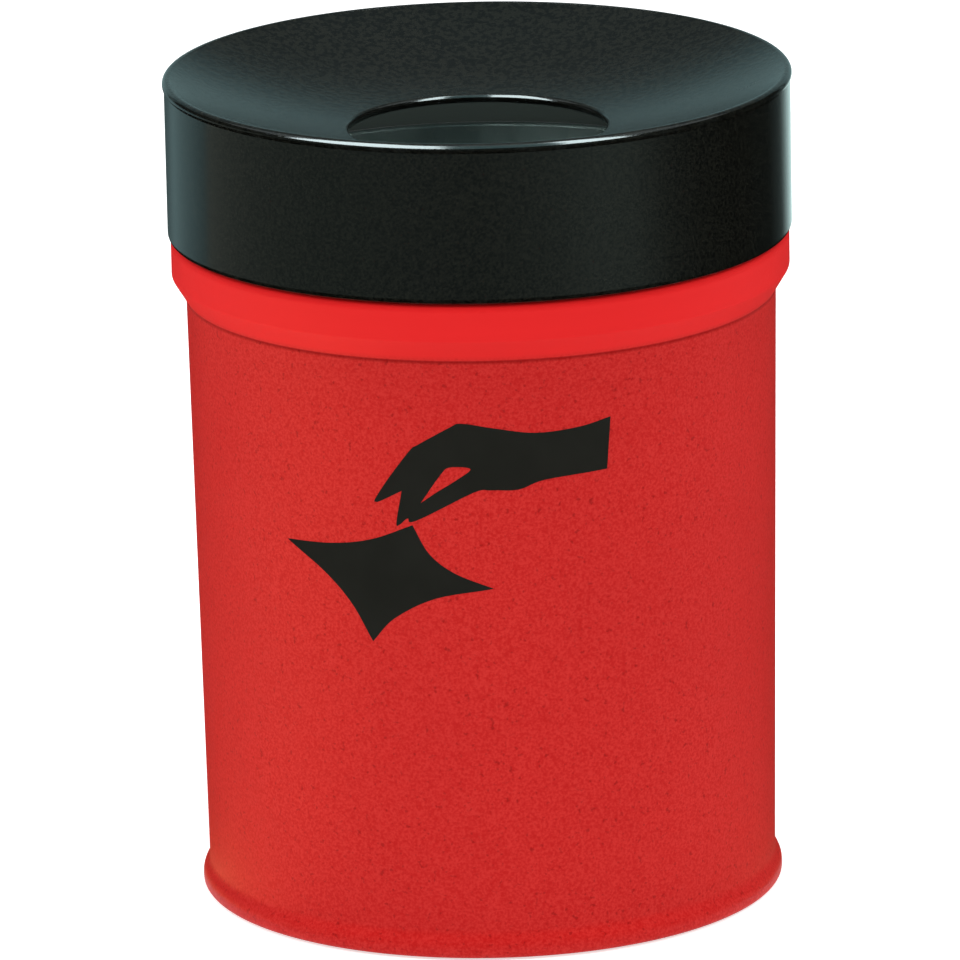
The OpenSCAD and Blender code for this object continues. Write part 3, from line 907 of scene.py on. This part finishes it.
def card(name, low, high, profile, colour, shows_in=None, turned=(0, 0)):
    """A strip about the object, from (r, z) low to high, that only reflections see.

    Where shows_in is given, only the reflections of its pieces. profile is [(angle, strength)]; angles are in
    degrees, 0 towards the camera, positive to the left. turned is how far the high edge is turned at the first
    and at the last angle."""
    vertices, glow = [], []
    for (start, weak), (end, strong) in zip(profile, profile[1:]):
        steps = max(1, round((end - start) / CARD_STEP))
        for k in range(steps + (end == profile[-1][0])):
            angle = start + (end - start) * k / steps
            share = (angle - profile[0][0]) / (profile[-1][0] - profile[0][0])
            for (r, z), more in ((low, 0), (high, turned[0] + (turned[1] - turned[0]) * share)):
                t = math.radians(angle + more)
                vertices.append((-r * math.sin(t), -r * math.cos(t), z))
            glow += [weak + (strong - weak) * k / steps] * 2
    faces = [(k, k + 1, k + 3, k + 2) for k in range(0, len(vertices) - 2, 2)]
    mesh = bpy.data.meshes.new(name)
    mesh.from_pydata(vertices, [], faces)
    mesh.attributes.new("glow", "FLOAT", "POINT").data.foreach_set("value", glow)
    obj = bpy.data.objects.new(name, mesh)
    bpy.context.scene.collection.objects.link(obj)
    p = Paint(name)
    p.nodes.clear()
    strength = p.add("ShaderNodeAttribute", attribute_name="glow")
    light = p.add("ShaderNodeEmission", {"Color": colour, "Strength": (strength, "Fac")})
    out = p.add("ShaderNodeOutputMaterial")
    p.links.new(light.outputs[0], out.inputs[0])
    mesh.materials.append(p.material)
    obj.visible_camera = False
    obj.visible_diffuse = False
    obj.visible_transmission = False
    obj.visible_volume_scatter = False
    obj.visible_shadow = False
    if shows_in:
        obj.light_linking.receiver_collection = shows_in


def pieces(name, *objects):
    """A collection for light linking."""
    group = bpy.data.collections.new(name)
    for obj in objects:
        group.objects.link(obj)
    return group


WHITE = (1, 1, 1, 1)
DARK = (0.8, 1.0, 0.9, 1)
COOL = (0.62, 0.97, 1.0, 1)
MILD = (0.92, 1.0, 0.88, 1)
PLAIN = (0.85, 1.0, 0.97, 1)
PALE = (0.72, 0.99, 0.97, 1)
WARM = (2.0, 0.75, 0.3, 1)

make_floor()
make_world()
HEAD = pieces("all_but_red", head_skirt, head_dish, rim_highlight_skin, lip_highlight_skin, liner_wall, liner_base, *kept_nodes)
EDGES = pieces("edges_and_metal", head_skirt, rim_highlight_skin, lip_highlight_skin, liner_wall, liner_base, *kept_nodes)
BODY = pieces("red_pieces", body_wall, base_plate)
card("floor_front_low", (0.15, CARD_Z), (0.60, CARD_Z), [
    (-180, 0.04), (-110, 0.05), (-75, 0.4), (0, 0.5), (45, 0.7)], WARM, BODY)
card("floor_front", (0.60, CARD_Z), (1.10, CARD_Z), [
    (-180, 0.03), (-110, 0.03), (-75, 0.1), (45, 0.2)], WARM, BODY)
card("floor_warm_near", (0.15, CARD_Z), (0.55, CARD_Z), [
    (45, 0.7), (52, 1.7), (80, 1.2), (95, 0.4), (110, 0.15), (135, 0.04), (180, 0.03)], WARM, BODY)
card("floor_warm", (0.55, CARD_Z), (1.10, CARD_Z), [
    (45, 0.7), (52, 2.7), (80, 2.3), (95, 1.2), (110, 0.35), (120, 0.12), (135, 0.05), (180, 0.03)], WARM, BODY)
card("floor_near", (1.10, CARD_Z), (1.25, CARD_Z), [(-180, 0.03), (180, 0.03)], DARK, HEAD)
card("floor_far_right", (1.25, CARD_Z), (2.6, CARD_Z), [
    (-180, 0.4), (-174, 0.7), (-166, 1.3), (-156, 0.95), (-144, 0.11), (-130, 0.02), (-115, 0.02)], PALE, HEAD)
card("floor_far", (1.25, CARD_Z), (STUDIO_R, CARD_Z), [
    (-115, 0.02), (-100, 0.02), (-85, 0.05), (-71, 0.15), (-56, 0.43), (-44, 0.48), (-20, 0.29), (0, 0.2),
    (20, 0.22), (40, 0.26), (80, 0.3), (115, 0.36)], MILD, HEAD)
card("floor_far_left", (1.25, CARD_Z), (2.6, CARD_Z), [
    (115, 0.36), (125, 0.45), (145, 0.44), (155, 0.19), (163, 0.1), (171, 0.3), (180, 0.38)], COOL, HEAD)
card("floor_back", (2.6, CARD_Z), (STUDIO_R, CARD_Z), [
    (115, 0.34), (130, 0.38), (150, 0.4), (165, 0.5), (195, 0.5), (206, 0.3), (216, 0.12),
    (230, 0.02), (245, 0.02)], COOL, HEAD)
card("wall_dark", (STUDIO_R, 0.0), (STUDIO_R, 4.2), [(-150, 0.015), (150, 0.015)], DARK)
card("wall_back", (STUDIO_R, 0.0), (STUDIO_R, 2.5), [
    (140, 0.3), (160, 0.46), (200, 0.46), (220, 0.3)], COOL, HEAD)
card("wall_back_middle", (STUDIO_R, 2.5), (5.6, 3.2), [
    (130, 0.22), (160, 0.31), (200, 0.31), (230, 0.22)], COOL, HEAD)
card("wall_back_low", (5.6, 3.2), (3.4, 4.0), [(120, 0.19), (240, 0.19)], PLAIN, HEAD)
card("wall_back_top", (3.4, 4.0), (0.8, 5.0), [(120, 0.29), (240, 0.29)], PLAIN, HEAD)
# Two soft boxes and the gap between them, whose straight sides show as the ends of the highlights on the
# rim and the lip: strength, and the angles of start and end at the low, the middle and the high edge
for name, colour, strength, start, end in (
        ("left", WHITE, 24, (12, 15, 27), (71, 79, 98)), ("right", WHITE, 24, (-55, -62, -83), (-30, -36, -57)),
        ("between", COOL, 1.6, (-30, -36, -57), (12, 15, 27))):
    for k, (low, high) in enumerate((((3.6, 1.45), (2.3, 2.72)), ((2.3, 2.72), (1.0, 3.6)))):
        card(f"box_{name}_{k + 1}", low, high, [(start[k], strength), (end[k], strength)], colour, EDGES,
             (start[k + 1] - start[k], end[k + 1] - end[k]))
# The lamps light without showing in the gloss
for name, place, target, size, power in (
        ("fill_left", (-2.6, 0.8, 0.9), (0, 0, 0.25), (1.2, 1.2), 12),
        ("fill_right", (2.6, 0.8, 0.9), (0, 0, 0.25), (1.2, 1.2), 17),
        ("soft_left", (-2.1, -1.5, 2.6), (0, 0, 0.3), (1.8, 1.2), 42),
        ("soft_right", (2.0, -1.9, 2.6), (0, 0, 0.3), (0.9, 1.2), 39),
        ("lamp_inside", (-0.01, 0.098, 0.3935), (-0.01, 0.156, 0.362), (0.17, 0.006), 0.062),
        ("soft_top", (0, -0.3, 2.4), (0, 0, 0.3), (0.8, 0.8), 22)):
    lamp = soft_light(name, place, target, size, power)
    lamp.visible_camera = False
    lamp.visible_glossy = False

bpy.context.scene.view_settings.view_transform = "Standard"

# ---- Offsets of the image points ----

# Degrees between the places tried round a ring, and how near in pixels a place counts as at a point's height
RING_STEP, NEAR_POINT = 0.5, 3


def finished(obj):
    """Places of the finished vertices of a piece, in the row frame."""
    bpy.context.view_layer.update()
    seen = obj.evaluated_get(bpy.context.evaluated_depsgraph_get())
    return [seen.matrix_world @ v.co for v in seen.data.vertices]


def image_of(*objects):
    return [to_image(p) for o in objects for p in finished(o)]


def rings_of(obj):
    """Places less than 3 px apart round every ring of a piece turned about the z axis."""
    rings = sorted({(round(math.hypot(p.x, p.y), 4), round(p.z, 4)) for p in finished(obj)})
    turns = [math.radians(k * RING_STEP) for k in range(round(360 / RING_STEP))]
    return [Vector((r * math.cos(t), r * math.sin(t), z)) for r, z in rings for t in turns]


def edge_offsets():
    """How far in x and y each thing shows from its image point."""
    shell_places, band_places, funnel_places = rings_of(body_wall), rings_of(head_skirt), rings_of(head_dish)
    band = [to_image(p) for p in band_places]
    everything = [to_image(p) for p in shell_places + funnel_places] + band
    rim = [to_image(p) for p in funnel_places if p.z > (RIM_Z - 1.2) * MM and p.y < 0]
    lip_places = [
        p for p in funnel_places if math.hypot(p.x, p.y) < (OPENING_R + 1.2) * MM and p.z > (lip_z - 1) * MM]
    lip = [to_image(p) for p in lip_places]
    far_lip = [to_image(p) for p in lip_places if p.y > 0]
    collar = [to_image(p) for p in shell_places if COLLAR_Z * MM < p.z < (LEDGE_Z - 4) * MM]
    foot = [to_image(p) for p in shell_places if p.z < FLARE_END_Z * MM]

    def leftmost(points, name=None):
        return min(level(points, name), key=lambda p: p[0])

    def rightmost(points, name=None):
        return max(level(points, name), key=lambda p: p[0])

    def level(points, name):
        """Those of the points that lie about as high as the image point of that name."""
        return [p for p in points if name is None or abs(p[1] - IMAGE_POINTS[name][1]) < NEAR_POINT]

    def abreast(points, name):
        return [p for p in points if abs(p[0] - IMAGE_POINTS[name][0]) < NEAR_POINT]

    def middle(points):
        xs, ys = [p[0] for p in points], [p[1] for p in points]
        return ((min(xs) + max(xs)) / 2, (min(ys) + max(ys)) / 2)

    shown = {
        "object_left_x": leftmost(everything, "object_left_x"),
        "object_right_x": rightmost(everything, "object_right_x"),
        "object_top_y": min(abreast(everything, "object_top_y"), key=lambda p: p[1]),
        "object_bottom_y": max(abreast(everything, "object_bottom_y"), key=lambda p: p[1]),
        "front_rim": max(abreast(rim, "front_rim"), key=lambda p: p[1]),
        "opening_left_end": leftmost(lip),
        "opening_right_end": rightmost(lip),
        "opening_far_lip": min(abreast(far_lip, "opening_far_lip"), key=lambda p: p[1]),
        "head_lower_edge": max(abreast(band, "head_lower_edge"), key=lambda p: p[1]),
        "collar_left": leftmost(collar, "collar_left"),
        "collar_right": rightmost(collar, "collar_right"),
        "foot_left": leftmost(foot, "foot_left"),
        "foot_right": rightmost(foot, "foot_right"),
        "figure_hand": middle(image_of(hand)),
        "figure_sheet": middle(image_of(sheet)),
    }
    return {
        name: {"point": list(point), "off": [round(shown[name][k] - point[k], 2) for k in (0, 1)]}
        for name, point in IMAGE_POINTS.items()
    }


edge_offsets()
